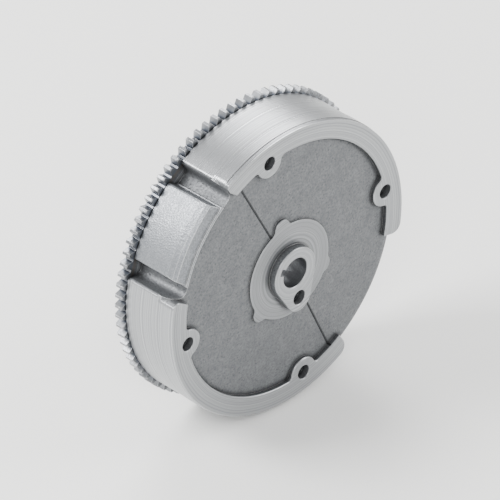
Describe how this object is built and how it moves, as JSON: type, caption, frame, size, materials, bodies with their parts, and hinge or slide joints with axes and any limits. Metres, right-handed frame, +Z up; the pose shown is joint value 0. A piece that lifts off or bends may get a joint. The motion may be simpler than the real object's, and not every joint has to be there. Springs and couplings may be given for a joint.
{
  "type": "flywheel",
  "caption": "Cast flywheel for a small engine: two raised fan pads, a rim magnet block, a pear-shaped keyed hub, a rear starter ring gear and charging magnets inside the rim.",
  "frame": {"origin": "centre of the four fan holes, in the plane of the two raised fan pads", "axes": "-Y out of the fan side along the crank axis, +Y towards the engine, +Z up"},
  "size_m": [0.22, 0.0586, 0.22],
  "materials": {
    "grey_cast_iron": "as-cast web, turned rim and milled faces",
    "gear_steel": "hobbed and induction hardened, lightly oiled",
    "die_cast_aluminium": "die-cast, shot-blasted",
    "hard_ferrite": "ground ceramic, dark and dull",
    "soft_iron": "pressed, plain",
    "black_oxide_screw": "black oxide",
    "black_nylon": "glass-filled, moulded",
    "stainless_sheet": "blanked, brushed",
    "zinc_plated_screw": "bright zinc"
  },
  "bodies": {
    "root": {"flywheel_body": "grey_cast_iron", "ring_gear": "gear_steel", "magnet_cover": "die_cast_aluminium", "ignition_magnet": "hard_ferrite", "pole_piece_leading": "soft_iron", "pole_piece_trailing": "soft_iron", "magnet_screws": "black_oxide_screw", "magnet_cage": "black_nylon", "retaining_ring": "stainless_sheet", "retaining_screws": "zinc_plated_screw", "charging_magnet_01": "hard_ferrite", "charging_magnet_02": "hard_ferrite", "charging_magnet_03": "hard_ferrite", "charging_magnet_04": "hard_ferrite", "charging_magnet_05": "hard_ferrite", "charging_magnet_06": "hard_ferrite", "charging_magnet_07": "hard_ferrite", "charging_magnet_08": "hard_ferrite", "charging_magnet_09": "hard_ferrite", "charging_magnet_10": "hard_ferrite", "charging_magnet_11": "hard_ferrite", "charging_magnet_12": "hard_ferrite"}
  },
  "joints": []
}
